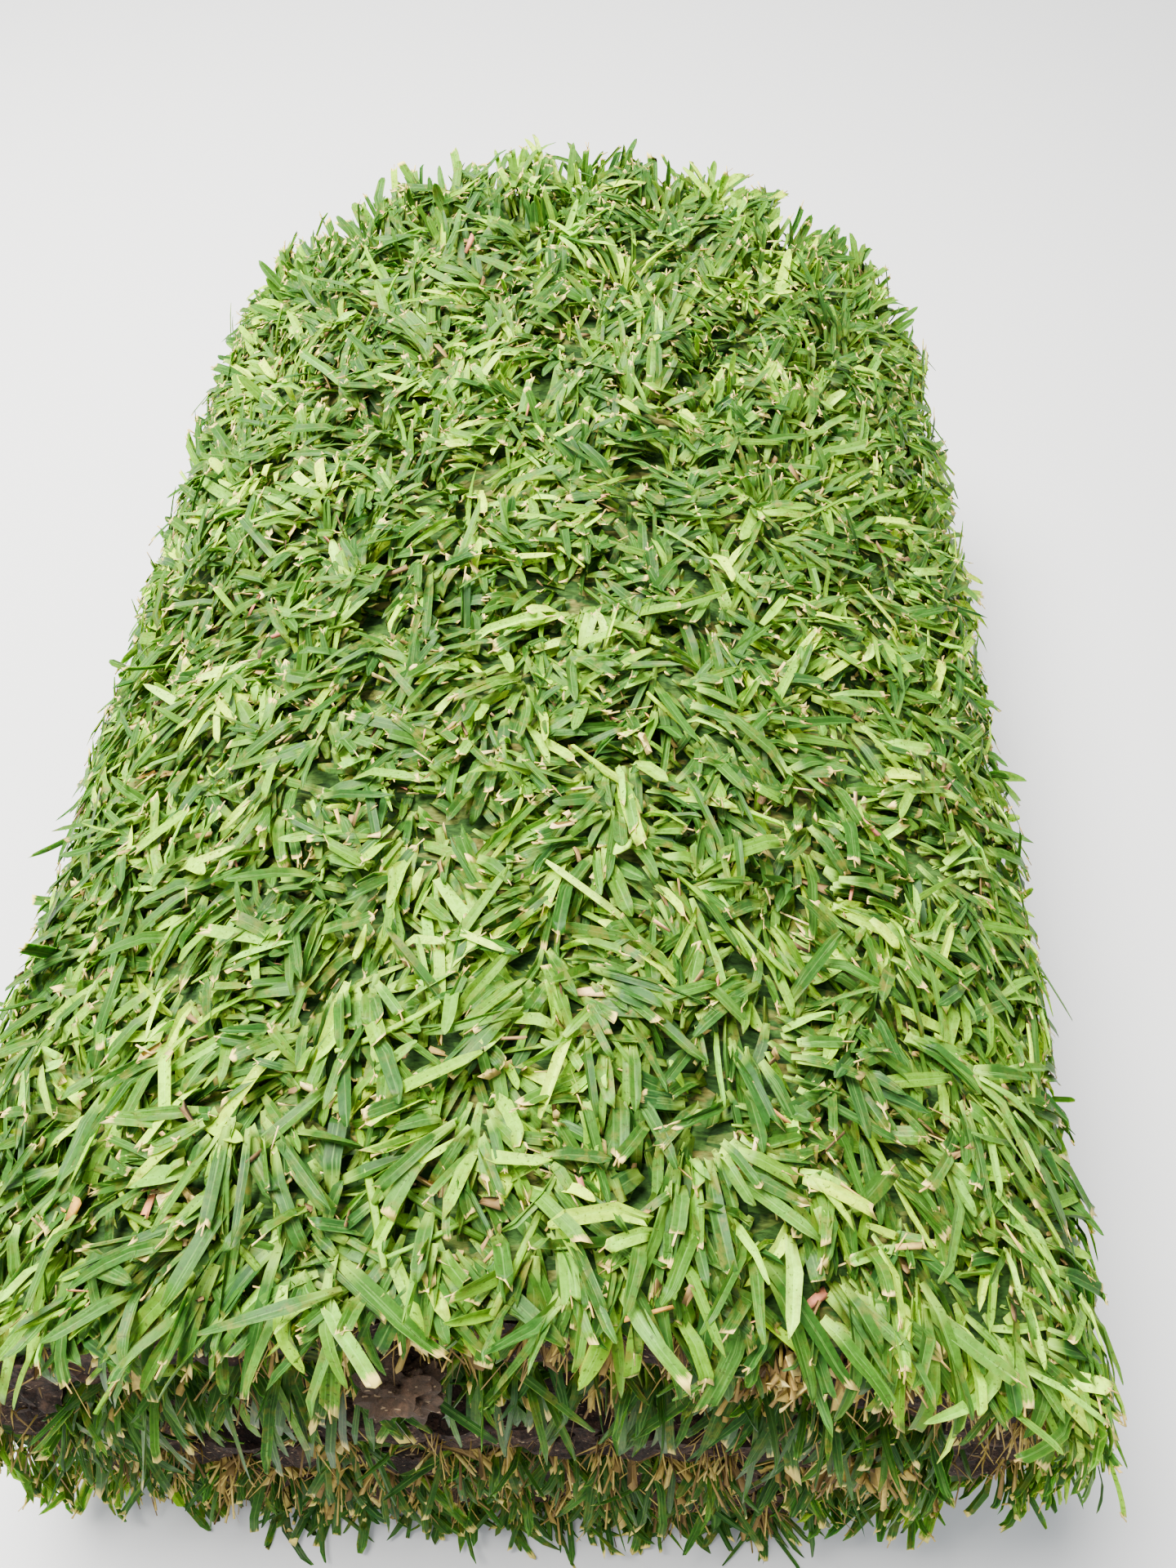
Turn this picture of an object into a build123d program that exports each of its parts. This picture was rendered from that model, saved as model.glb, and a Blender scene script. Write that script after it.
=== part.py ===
"""Roll of turf: one strip of lawn, cut with its soil and wound up grass side out.

The strip lies in an oval spiral. It has slumped under its own weight, so each turn runs flat along the
ground, bends up round a tight side and crosses the top in a low crown. Soil faces the middle of the
roll and grass faces out. Where another turn covers the grass, it is squeezed thin. On the outside it
stands at its mown height, and under the roll it is crushed against the ground.

X is across the roll, Y along it and Z up. The origin is at the middle of the footprint, on the ground.
"""

import os
from math import atan, cos, degrees, radians, sin, sqrt

from build123d import *

# Sizes of the turf strip, in millimetres
turf_width = 600.0  # the strip's cut width, which is the length of the roll
mat_thickness = 27.0  # soil, roots and thatch under the grass
mown_height = 28.0  # free grass on the outside of the roll, as high as its leaves lie together
squeezed_pile = 14.0  # grass between two turns
crushed_pile = 12.0  # grass between the roll and the ground
edge_overhang = 10.0  # blades lean out this far past the strip's cut edges

# How the strip lies in the roll
whole_turns = 2  # full turns after the inner flap
inner_flap = 200.0  # flat length inside the first fold
flat_run = 220.0  # stretch of each turn that lies flat, between the two sides
crown_rise = 38.0  # how far each turn swells from its shoulders to its middle
fold_radius = 5.0  # inside radius of the first fold, half the height of the eye there
tail_angle = 10.0  # degrees that the outer end climbs past the ground run
end_lean = 44.0  # the roll was wound askew: its foot stands this far ahead of its top

# The spiral is made of tangent arcs. Right sides turn about one centre, left sides about another and
# crowns about a third, so every turn is a true offset of the last and the gap between them is even.
pitch = mat_thickness + squeezed_pile
half_crown_tan = (sqrt(flat_run**2 + 8 * crown_rise * pitch) - flat_run) / (2 * pitch)
crown_half_angle = 2 * degrees(atan(half_crown_tan))
crown_reach = crown_rise / (1 - cos(radians(crown_half_angle)))
side_step = pitch / (1 + cos(radians(crown_half_angle)))

right_x = flat_run / 2
left_x = -flat_run / 2
left_y = -side_step * cos(radians(crown_half_angle))
right_centre = (right_x, 0.0)
left_centre = (left_x, left_y)
crown_centre = (
    right_x - crown_reach * sin(radians(crown_half_angle)),
    -crown_reach * cos(radians(crown_half_angle)),
)
side_sweep = 180.0 - crown_half_angle


def side_radius(turn, depth):
    """Radius of a turn's right side, at a depth measured from the strip's soil face towards the grass."""
    return fold_radius + turn * pitch + depth


def ground_run(turn, depth):
    """The flat stretch that ends each turn, on its way to the right side of the next."""
    height = -side_radius(turn + 1, depth)
    return Line((left_x, height), (right_x, height))


def right_side(turn, depth, start=0.0, sweep=side_sweep):
    """The right side, from the ground up. start and sweep are in degrees."""
    return CenterArc(right_centre, side_radius(turn, depth), start - 90.0, sweep)


def crown(turn, depth):
    """The low arch across the top."""
    radius = side_radius(turn, depth) + crown_reach
    return CenterArc(crown_centre, radius, 90.0 - crown_half_angle, 2 * crown_half_angle)


def left_side(turn, depth):
    """The left side, from the crown down to the ground."""
    radius = side_radius(turn, depth) + side_step
    return CenterArc(left_centre, radius, 90.0 + crown_half_angle, side_sweep)


def flap(depth):
    """The strip's inner end, which lies flat inside the first fold."""
    height = -side_radius(0, depth)
    return Line((right_x - inner_flap, height), (right_x, height))


def over_the_top(turn, depth):
    """A turn from its right shoulder to the end of its ground run."""
    return [crown(turn, depth), left_side(turn, depth), ground_run(turn, depth)]


def tail(depth):
    """The strip's outer end, climbing a little way up the right side."""
    return right_side(whole_turns, depth, sweep=tail_angle)


def whole_face(depth):
    """One face of the strip from its inner end to its outer end, at an even depth."""
    edges = [flap(depth)]
    for turn in range(whole_turns):
        edges += [right_side(turn, depth), *over_the_top(turn, depth)]
    return [*edges, tail(depth)]


def grass_tips():
    """The outer face of the grass: squeezed as far as the strip's outer end covers it, then free."""
    last = whole_turns - 1
    squeezed, free = pitch, mat_thickness + mown_height
    edges = [flap(squeezed)]
    for turn in range(last):
        edges += [right_side(turn, squeezed), *over_the_top(turn, squeezed)]
    covered = right_side(last, squeezed, sweep=tail_angle)
    uncovered = right_side(last, free, tail_angle, side_sweep - tail_angle)
    edges += [covered, Line(covered @ 1, uncovered @ 0), uncovered]
    return [*edges, *over_the_top(last, free), tail(free)]


def section(inner, outer):
    """The closed outline between two faces of the strip."""
    ends = [Line(inner[0] @ 0, outer[0] @ 0), Line(inner[-1] @ 1, outer[-1] @ 1)]
    return make_face([*inner, *outer, *ends])


# Ends of the roll. Both cuts lean the same way, because every turn is as wide as the strip.
lowest_soil = -side_radius(whole_turns, mat_thickness)
ground = lowest_soil - crushed_pile
summit = side_radius(whole_turns - 1, mat_thickness + mown_height) + crown_rise
rightmost = right_x + side_radius(whole_turns - 1, mat_thickness + mown_height)
leftmost = left_x - side_radius(whole_turns - 1, mat_thickness + mown_height) - side_step
lean_angle = degrees(atan(end_lean / (summit - ground)))


def end_cut(distance):
    """A plane across the roll, that far along it at half its height."""
    middle = (0, distance, (summit + ground) / 2)
    return Plane(middle, x_dir=(1, 0, 0), z_dir=(0, cos(radians(lean_angle)), -sin(radians(lean_angle))))


def wound(face, length):
    """The section drawn out along the roll and cut to length at both leaning ends."""
    stock = extrude(Plane.XZ * face, amount=length / 2 + end_lean, both=True)
    stock = split(stock, bisect_by=end_cut(length / 2), keep=Keep.BOTTOM)
    return split(stock, bisect_by=end_cut(-length / 2), keep=Keep.TOP)


to_footprint = Pos(-(leftmost + rightmost) / 2, 0, -ground)

soil_face = whole_face(0.0)
root_crown_face = whole_face(mat_thickness)
soil_mat = to_footprint * wound(section(soil_face, root_crown_face), turf_width)

free_pile = wound(section(root_crown_face, grass_tips()), turf_width + 2 * edge_overhang)
level_ground = Plane((0, 0, ground), z_dir=(0, 0, 1))
grass_pile = to_footprint * split(free_pile, bisect_by=level_ground, keep=Keep.TOP)

os.makedirs("parts", exist_ok=True)
for name, shape in {"soil_mat": soil_mat, "grass_pile": grass_pile}.items():
    export_step(shape, f"parts/{name}.step")

strip_length = sum(edge.length for edge in whole_face(mat_thickness / 2))
print(f"strip {strip_length:.0f} x {turf_width:.0f} mm, {strip_length * turf_width / 1e6:.3f} square metres")
print(f"crown half angle {crown_half_angle:.1f} degrees, lean {lean_angle:.1f} degrees")
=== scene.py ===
# %% [markdown]
# # A roll of turf
#
# One strip of broad-leaved lawn, cut with its soil, is wound up grass side out and has slumped into
# an oval. The real strip was flat before it was wound, so each piece here is made flat and then
# wound by the same function. A point of the flat strip has three numbers, in millimetres: its way
# along the strip, its place across the strip, and its height over the plane where leaves meet soil.

# %% Load the frame
from math import atan, cos, pi, radians, sin, sqrt

import bmesh
import bpy
import numpy as np
from mathutils import Matrix, Vector, noise


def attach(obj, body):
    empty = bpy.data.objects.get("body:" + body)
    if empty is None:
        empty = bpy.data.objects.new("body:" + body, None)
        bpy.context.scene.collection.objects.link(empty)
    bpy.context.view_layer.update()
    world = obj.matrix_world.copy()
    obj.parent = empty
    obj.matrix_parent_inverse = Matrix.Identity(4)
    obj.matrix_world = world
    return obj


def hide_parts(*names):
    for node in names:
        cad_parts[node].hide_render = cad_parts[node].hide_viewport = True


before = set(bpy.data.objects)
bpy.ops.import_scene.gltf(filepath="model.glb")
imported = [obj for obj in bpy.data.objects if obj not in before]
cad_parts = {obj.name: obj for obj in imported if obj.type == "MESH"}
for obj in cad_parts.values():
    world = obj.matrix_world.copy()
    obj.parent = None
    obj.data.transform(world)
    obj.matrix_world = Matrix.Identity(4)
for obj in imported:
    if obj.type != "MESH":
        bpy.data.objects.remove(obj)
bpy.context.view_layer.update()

# %% [markdown]
# ## Camera, floor and light
#
# The photograph was taken with a phone held over the near end, looking down along the roll. A lens
# of 26 mm on a 36 mm sensor is what a phone's main camera has. The light is a bright overcast sky:
# one very large soft lamp overhead and an even, slightly blue world around it.

# %% Camera
camera_place = (0.032, -0.334, 0.609)
camera_down, camera_right, camera_roll = radians(56.3), radians(-1.6), radians(0.6)

camera_data = bpy.data.cameras.new("camera")
camera_data.lens = 26.0
camera_data.clip_start = 0.01
camera = bpy.data.objects.new("camera", camera_data)
bpy.context.scene.collection.objects.link(camera)
turned = Matrix.Rotation(-camera_right, 4, "Z") @ Matrix.Rotation(pi / 2 - camera_down, 4, "X")
camera.matrix_world = Matrix.Translation(camera_place) @ turned @ Matrix.Rotation(camera_roll, 4, "Z")
bpy.context.scene.camera = camera

# %% Adding nodes to a material
def linear(hex_colour):
    """An sRGB colour such as 7FA65A as the linear RGBA that shaders take."""
    channels = [int(hex_colour[i:i + 2], 16) / 255 for i in (0, 2, 4)]
    return [c / 12.92 if c <= 0.04045 else ((c + 0.055) / 1.055) ** 2.4 for c in channels] + [1.0]

def add_node(tree, kind, inputs=(), stops=(), **settings):
    """Adds a node. Inputs go in order or by name, and are numbers, hex colours, or what is to be linked."""
    node = tree.nodes.new("ShaderNode" + kind)
    for name, value in settings.items():
        setattr(node, name, value)
    by_name = isinstance(inputs, dict)
    sockets = [socket for socket in node.inputs if socket.enabled]
    for key, value in inputs.items() if by_name else zip(sockets, inputs):
        socket = node.inputs[key] if by_name else key
        if isinstance(value, bpy.types.Node):
            value = next(output for output in value.outputs if output.enabled)
        if isinstance(value, bpy.types.NodeSocket):
            tree.links.new(value, socket)
        else:
            socket.default_value = linear(value) if isinstance(value, str) else value
    for _ in stops[2:]:
        node.color_ramp.elements.new(0.5)
    for index, (place, colour) in enumerate(stops):
        element = node.color_ramp.elements[index]
        element.position = place
        element.color = linear(colour) if isinstance(colour, str) else (colour, colour, colour, 1.0)
    return node

def new_material(name):
    """An empty material, and its node tree."""
    material = bpy.data.materials.new(name)
    material.use_nodes = True
    material.node_tree.nodes.clear()
    return material, material.node_tree

def ramp(tree, value, stops):
    """A colour or a grey for each value from 0 to 1, given at a few stops."""
    return add_node(tree, "ValToRGB", [value], stops)

def calculate(tree, operation, *values):
    """A number worked out from others."""
    return add_node(tree, "Math", values, operation=operation)

def mixed(tree, share, below, above):
    """One colour laid over another, by a share from 0 to 1."""
    return add_node(tree, "Mix", [share, below, above], data_type="RGBA")

def shaded(tree, colour, shade):
    """A colour multiplied by a shade of grey."""
    return add_node(tree, "Mix", [1.0, colour, shade], data_type="RGBA", blend_type="MULTIPLY")

def finish_material(tree, inputs):
    """Adds the surface shader with its inputs, and links it to the material's output."""
    surface = add_node(tree, "BsdfPrincipled", inputs)
    tree.links.new(surface.outputs[0], add_node(tree, "OutputMaterial").inputs[0])

# %% Floor and light
def as_mesh(name, shape):
    """The mesh of a finished bmesh, which is freed."""
    mesh = bpy.data.meshes.new(name)
    shape.to_mesh(mesh)
    shape.free()
    return mesh

paint, tree = new_material("pale matt floor")
finish_material(tree, {"Base Color": "C6C4C0", "Roughness": 0.9})

shape = bmesh.new()
bmesh.ops.create_grid(shape, x_segments=1, y_segments=1, size=6.0)
floor_mesh = as_mesh("floor", shape)
floor_mesh.materials.append(paint)
floor = bpy.data.objects.new("floor", floor_mesh)
bpy.context.scene.collection.objects.link(floor)

sky = bpy.data.worlds.new("overcast sky")
sky.use_nodes = True
sky.node_tree.nodes["Background"].inputs["Color"].default_value = linear("E8F0FA")
sky.node_tree.nodes["Background"].inputs["Strength"].default_value = 1.35
bpy.context.scene.world = sky

lamp_data = bpy.data.lights.new("bright cloud", "AREA")
lamp_data.shape = "DISK"
lamp_data.size = 1.2
lamp_data.energy = 230.0
lamp = bpy.data.objects.new("bright cloud", lamp_data)
lamp.location = (-0.6, 0.3, 1.8)
lamp.rotation_euler = (Vector(lamp.location)).to_track_quat("Z", "Y").to_euler()
bpy.context.scene.collection.objects.link(lamp)
print("Camera, floor and light are in place")

# %% [markdown]
# ## How the strip winds
#
# The spiral is made of tangent arcs and straight runs. Each turn runs flat along the ground, goes up
# round a tight right side, crosses the top in a low crown and comes down a left side. The arcs of
# all turns share their centres, so the turns lie a steady distance apart. The curve that is worked
# out here is where the leaves meet the soil, as points a millimetre apart with the way they face.

# %% Sizes of the strip and of the roll, in millimetres
turf_width = 600.0
mat_thickness = 27.0
mown_height = 28.0
tip_height = 31.0
squeezed_pile = 14.0
crushed_pile = 12.0

whole_turns = 2
inner_flap = 200.0
flat_run = 220.0
crown_rise = 38.0
fold_radius = 5.0
tail_angle = 10.0
end_lean = 44.0

pitch = mat_thickness + squeezed_pile
half_crown = 2 * atan((sqrt(flat_run**2 + 8 * crown_rise * pitch) - flat_run) / (2 * pitch))
crown_reach = crown_rise / (1 - cos(half_crown))
side_step = pitch / (1 + cos(half_crown))
right_centre = (flat_run / 2, 0.0)
left_centre = (-flat_run / 2, -side_step * cos(half_crown))
crown_centre = (right_centre[0] - crown_reach * sin(half_crown), -crown_reach * cos(half_crown))

# %% The curve where leaves meet soil
def straight(start, end):
    """Points along a flat run, which all face down."""
    count = int(abs(end[0] - start[0]))
    along = np.linspace(0, 1, count, endpoint=False)[:, None]
    return np.hstack([np.array(start) + along * (np.array(end) - start), np.tile([0.0, -1.0], (count, 1))])

def bend(centre, radius, start, sweep):
    """Points round an arc, which face away from its centre. Angles are in radians."""
    angle = start + sweep * np.linspace(0, 1, int(radius * sweep), endpoint=False)
    facing = np.stack([np.cos(angle), np.sin(angle)], 1)
    return np.hstack([np.array(centre) + radius * facing, facing])

runs = {}
def lay_run(name, points):
    """Adds a run to the curve, and notes the run's name and points in order."""
    runs[name] = points

height = -(fold_radius + mat_thickness)
lay_run("flap", straight((right_centre[0] - inner_flap, height), (right_centre[0], height)))
for turn in range(whole_turns):
    radius = fold_radius + turn * pitch + mat_thickness
    side_sweep = pi - half_crown
    lay_run(f"right_{turn}", bend(right_centre, radius, -pi / 2, side_sweep))
    lay_run(f"crown_{turn}", bend(crown_centre, radius + crown_reach, pi / 2 - half_crown, 2 * half_crown))
    lay_run(f"left_{turn}", bend(left_centre, radius + side_step, pi / 2 + half_crown, side_sweep))
    height = -(radius + pitch)
    lay_run(f"ground_{turn}", straight((left_centre[0], height), (right_centre[0], height)))
lay_run("tail", bend(right_centre, radius + pitch, -pi / 2, radians(tail_angle)))

curve = np.vstack(list(runs.values()))
run_starts, before = {}, 0
for name, points in runs.items():
    run_starts[name] = before
    before += len(points)
steps = np.hypot(*np.diff(curve[:, :2], axis=0).T)
distance = np.concatenate([[0.0], np.cumsum(steps)])
strip_length = distance[-1]
start_of = {name: distance[index] for name, index in run_starts.items()}

outer_turn = whole_turns - 1
outer_radius = fold_radius + outer_turn * pitch + mat_thickness + mown_height
ground_height = -(fold_radius + whole_turns * pitch + mat_thickness + crushed_pile)
roll_height = outer_radius + crown_rise - ground_height
middle_shift = side_step / 2
print(f"Leaves meet soil along {strip_length:.0f} mm, and the roll is {roll_height:.0f} mm high")

# %% Winding
def curve_at(along):
    """Places and facings on the curve at distances along the strip."""
    place = np.stack([np.interp(along, distance, curve[:, i]) for i in (0, 1)], -1)
    facing = np.stack([np.interp(along, distance, curve[:, i]) for i in (2, 3)], -1)
    return place, facing / np.linalg.norm(facing, axis=-1, keepdims=True)

def stand(points):
    """Puts points in the roll's own frame, in metres, and leans the roll's ends."""
    points = points + np.array([middle_shift, 0.0, -ground_height])
    points[..., 1] += (points[..., 2] - roll_height / 2) * end_lean / roll_height
    return points / 1000

def wind(flat_points):
    """Winds points of the flat strip into the roll."""
    along, across, over = np.moveaxis(np.asarray(flat_points, float), -1, 0)
    place, facing = curve_at(along)
    wound = place + facing * over[..., None]
    return stand(np.stack([wound[..., 0], across, wound[..., 1]], -1))

# %% [markdown]
# ## The soil mat
#
# Under the leaves is a mat of dark loam that roots and runners hold together. It is made as a long
# flat box. The box is cut into a grid with subdivide_edges, finely near the two cut ends, where the
# mat shows. Its vertices are wound into the roll, and noise then crumbles the surface.

# %% A flat box in a grid
def flat_box(low, high, cuts):
    """A bmesh box between two corners, with so many cuts along each axis."""
    box = bmesh.new()
    bmesh.ops.create_cube(box, size=1.0)
    for axis in range(3):
        lengthways = [e for e in box.edges if abs((e.verts[0].co - e.verts[1].co)[axis]) > 1e-6]
        bmesh.ops.subdivide_edges(box, edges=lengthways, cuts=cuts[axis], use_grid_fill=True)
    size = Vector(high) - Vector(low)
    bmesh.ops.translate(box, verts=box.verts, vec=(0.5, 0.5, 0.5))
    bmesh.ops.scale(box, verts=box.verts, vec=size)
    bmesh.ops.translate(box, verts=box.verts, vec=low)
    return box

def crowd_to_ends(box, half_width, crowding=2.4):
    """Moves the cuts across the strip towards its two edges, where the detail is needed."""
    for vertex in box.verts:
        share = abs(vertex.co.y) / half_width
        vertex.co.y = (1 - (1 - share) ** crowding) * half_width * (1 if vertex.co.y > 0 else -1)

def add_piece(name, mesh, material, replaced=None):
    """Makes an object of a finished mesh, and says what it rides on and what its finish is."""
    mesh.materials.append(material)
    piece = bpy.data.objects.new(name, mesh)
    bpy.context.scene.collection.objects.link(piece)
    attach(piece, "root")
    if replaced:
        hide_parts(replaced)
    print(f"{name}: {sum(len(p.vertices) - 2 for p in mesh.polygons)} triangles")
    return piece

def rough(point, grain, depth=3):
    """Layered noise of about -1 to 1 at a point in millimetres, with lumps about a grain wide."""
    return noise.fractal(Vector(point) / grain, 1.0, 2.0, depth, noise_basis="PERLIN_ORIGINAL") * 1.6

# %% The soil mat's material
# Moist loam: dark, slightly red, in crumbs of 1 to 7 mm with cracks between them, and with
# straw-coloured bits of root in it. It is dull and rough. Its browns are partly its own colour and
# partly painted shade of the shaded near end, and the hollows between crumbs and the cracks are
# darkened as painted shade.
loam, tree = new_material("moist loam with fine roots")
place = add_node(tree, "TexCoord").outputs["Object"]
patches = add_node(tree, "TexNoise", {"Vector": place, "Scale": 60.0, "Detail": 4.0, "Roughness": 0.6})
crumbs = add_node(tree, "TexNoise", {"Vector": place, "Scale": 420.0, "Detail": 5.0, "Roughness": 0.7})
cracks = add_node(tree, "TexVoronoi", {"Vector": place, "Scale": 150.0}, feature="DISTANCE_TO_EDGE")
stretched = add_node(tree, "Mapping", {"Vector": place, "Scale": (260.0, 1100.0, 900.0)})
roots = add_node(tree, "TexNoise", {"Vector": stretched, "Scale": 1.0, "Detail": 1.0})

# Painted shade: these browns are kept darker than the loam's own colour, as shade of the near end.
base = ramp(tree, patches, [(0.3, "33231A"), (0.5, "4C3527"), (0.7, "664936")])
# Painted shade: where the crumb noise, which is also the bump's height, is low, the colour is darker.
grain = ramp(tree, crumbs, [(0.38, 0.25), (0.62, 1.0)])
base = shaded(tree, base, grain)
# Painted shade: the cracks between crumbs are painted almost black.
painted_crack_shade = ramp(tree, cracks, [(0.0, 0.75), (0.12, 0.0)])
base = mixed(tree, painted_crack_shade, base, "1B130E")
is_root = ramp(tree, roots, [(0.69, 0.0), (0.72, 0.8)])
base = mixed(tree, is_root, base, "A58A66")
# Painted light: where this attribute is set, as on the one clod, a lighter brown is mixed in, for a lump that
# catches light.
painted_light_on_clod = add_node(tree, "Attribute", attribute_name="painted_light_on_clod").outputs["Fac"]
base = mixed(tree, painted_light_on_clod, base, "A58A6E")
bump = add_node(tree, "Bump", {"Strength": 1.0, "Distance": 0.0022, "Height": crumbs})
finish_material(tree, {"Base Color": base, "Roughness": 0.88, "Specular IOR Level": 0.25, "Normal": bump})

# %% The soil mat
half_width = turf_width / 2
crumbling_edge = 12.0
lump_size = 13.0
lump_height, extra_height_at_edge = 1.2, 2.6
set_back = 0.8

box = flat_box((0, -half_width, -mat_thickness), (strip_length, half_width, 0), (420, 13, 8))
crowd_to_ends(box, half_width)
flat_places = np.array([vertex.co for vertex in box.verts])
for vertex, place in zip(box.verts, wind(flat_places)):
    vertex.co = place
bmesh.ops.reverse_faces(box, faces=box.faces)  # winding turned them inwards
box.normal_update()
for vertex, flat_place in zip(box.verts, flat_places):
    edge_share = max(0.0, 1 - (half_width - abs(flat_place[1])) / crumbling_edge)
    lumps = rough(vertex.co * 1000, lump_size, 2) * (lump_height + extra_height_at_edge * edge_share)
    vertex.co += vertex.normal * (lumps - set_back) / 1000
    vertex.co.z = max(vertex.co.z, 0.0)
add_piece("soil_and_roots", as_mesh("soil_mat_wound", box), loam, "soil_mat")

# %% [markdown]
# ## Matted grass
#
# Low in the pile, old leaves, runners and clippings lie flat and tight, and between the turns of the
# roll the whole pile is squeezed into such a mat. It is one more layer of the strip, made in the
# same way as the soil. Its top swells and sinks a little from place to place, as tufts do.

# %% Slow waves over the strip
def drift(along, across, wavelength, seed):
    """Two smooth random numbers of about -1 to 1 that change over about a wavelength."""
    waves = np.random.default_rng(seed)
    total = np.zeros(np.shape(along) + (2,))
    for _ in range(6):
        angle, size = waves.uniform(0, 2 * pi), waves.uniform(0.6, 1.4) * 2 * pi / wavelength
        phase = (along * cos(angle) + across * sin(angle)) * size
        total += np.stack([np.sin(phase + waves.uniform(0, 6)), np.sin(phase + waves.uniform(0, 6))], -1)
    return total / 2.4

def swell(along, across):
    """How far tufts stand over the rest of the lawn, in millimetres."""
    tufts = 3.8 * drift(along, across, wavelength=52.0, seed=8)[..., 0]
    dips = 1.8 * drift(along, across, wavelength=150.0, seed=9)[..., 0]
    return tufts + dips

# %% The matted grass's material
# Old leaves that lie in every direction, deep green and olive, with straw bits. Their colours are
# kept dark, partly their own deep green and partly painted shade of the deep pile. Each cell of a
# stretched cell pattern is one leaf, about 5 mm wide, and a fine noise draws its fibres.
matted, tree = new_material("matted old grass")
place = add_node(tree, "TexCoord").outputs["Object"]
# Partly own colour, partly painted shade: these greens are darker than the leaves above.
greens_and_painted_shade = [(0.2, "1F3514"), (0.45, "2E4B1D"), (0.65, "3F5E24"), (0.85, "6C6830")]
layers = []
for turned_by in (0.7, 2.3):
    mapping = {"Vector": place, "Rotation": (0.5, 0.4, turned_by), "Scale": (70.0, 210.0, 110.0)}
    stretched = add_node(tree, "Mapping", mapping)
    cells = add_node(tree, "TexVoronoi", {"Vector": stretched, "Scale": 1.0})
    layers.append(ramp(tree, cells.outputs["Color"], greens_and_painted_shade))
patches = add_node(tree, "TexNoise", {"Vector": place, "Scale": 120.0, "Detail": 2.0})
share = ramp(tree, patches, [(0.45, 0.0), (0.55, 1.0)])
base = mixed(tree, share, *layers)
fibres = add_node(tree, "TexNoise", {"Vector": stretched, "Scale": 4.0, "Detail": 3.0})
shade = ramp(tree, fibres, [(0.35, 0.45), (0.6, 1.0)])
base = shaded(tree, base, shade)
bump = add_node(tree, "Bump", {"Strength": 0.8, "Distance": 0.001, "Height": fibres})
finish_material(tree, {"Base Color": base, "Roughness": 0.85, "Specular IOR Level": 0.1, "Normal": bump})

# %% The matted grass
mat_side = half_width - 2.5
mat_height = squeezed_pile - 1.5
mat_rise = 6.5
fall_at_end, fall_width = 7.0, 14.0
hollow_size, hollow_depth = 9.0, 1.5
fixed_below = 1.0
free_start = start_of[f"right_{outer_turn}"] + radians(tail_angle) * (outer_radius - mown_height)
free_end = start_of[f"ground_{outer_turn}"]

box = flat_box((0, -mat_side, 0), (strip_length, mat_side, mat_height), (270, 33, 1))
flat_places = np.array([vertex.co for vertex in box.verts])
swells = swell(flat_places[:, 0], flat_places[:, 1])
is_free = (flat_places[:, 0] > free_start) & (flat_places[:, 0] < free_end)
end_share = np.clip(1 - (half_width - np.abs(flat_places[:, 1])) / fall_width, 0, 1)
rises = np.where(is_free, 0.8 * swells + mat_rise - fall_at_end * end_share, 0.0)
for vertex, rise in zip(box.verts, rises):
    if vertex.co.z > fixed_below:
        vertex.co.z += rise + min(0.0, rough(vertex.co, hollow_size) * hollow_depth)
for vertex, place in zip(box.verts, wind([vertex.co for vertex in box.verts])):
    vertex.co = place
    vertex.co.z = max(vertex.co.z, 0.0008)
bmesh.ops.reverse_faces(box, faces=box.faces)
piece = add_piece("matted_grass", as_mesh("matted_grass", box), matted)
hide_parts("grass_pile")

# %% [markdown]
# ## Leaves
#
# The roll shows thousands of leaves, 4 to 6 mm broad, folded a little along the middle. Some have
# a round tip, and many were torn off short by the mower. One flat leaf is modelled by extruding a
# ring of four vertices. Copies of it are then bent, folded and placed as arrays of coordinates, and
# joined into a few meshes, which is much lighter than thousands of objects.

# %% One flat blade, in several finenesses
def flat_blade(name, stations, sides=4):
    """A blade one unit long and one wide: x runs across, y along, and z is 0 above and -1 at the keel."""
    blade = bmesh.new()
    bmesh.ops.create_circle(blade, segments=sides, radius=0.5)
    bmesh.ops.rotate(blade, verts=blade.verts, matrix=Matrix.Rotation(-pi / 2, 3, "X"))
    if sides == 4:
        for vertex in blade.verts:
            vertex.co.z = -1.0 if vertex.co.z < -0.1 else 0.0
    rim = list(blade.edges)
    for low, high in zip(stations, stations[1:]):
        grown = bmesh.ops.extrude_edge_only(blade, edges=rim)["geom"]
        rim = [part for part in grown if isinstance(part, bmesh.types.BMEdge)]
        fresh = [part for part in grown if isinstance(part, bmesh.types.BMVert)]
        bmesh.ops.translate(blade, verts=fresh, vec=(0, high - low, 0))
    bmesh.ops.holes_fill(blade, edges=[edge for edge in blade.edges if edge.is_boundary], sides=sides)
    bmesh.ops.recalc_face_normals(blade, faces=blade.faces)
    for edge in blade.edges:
        lengthways = abs((edge.verts[0].co - edge.verts[1].co).y) > 1e-6
        edge.smooth = not (lengthways and sides < 5)
    for face in blade.faces:
        face.smooth = True
    return as_mesh(name, blade)

def read_mesh(mesh):
    """The arrays that a mesh is made of."""
    def read(parts, name, width, kind):
        values = np.empty(len(parts) * width, kind)
        parts.foreach_get(name, values)
        return values
    ring = sum(abs(vertex.co.y) < 1e-6 for vertex in mesh.vertices)
    return {
        "sides": ring, "places": read(mesh.vertices, "co", 3, np.float32).reshape(-1, 3),
        "edges": read(mesh.edges, "vertices", 2, np.int32).reshape(-1, 2),
        "corners": read(mesh.loops, "vertex_index", 1, np.int32),
        "corner_edges": read(mesh.loops, "edge_index", 1, np.int32),
        "face_starts": read(mesh.polygons, "loop_start", 1, np.int32),
        "sharp_edges": read(mesh.edges, "use_edge_sharp", 1, bool),
        "smooth_faces": read(mesh.polygons, "use_smooth", 1, bool),
    }

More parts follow.
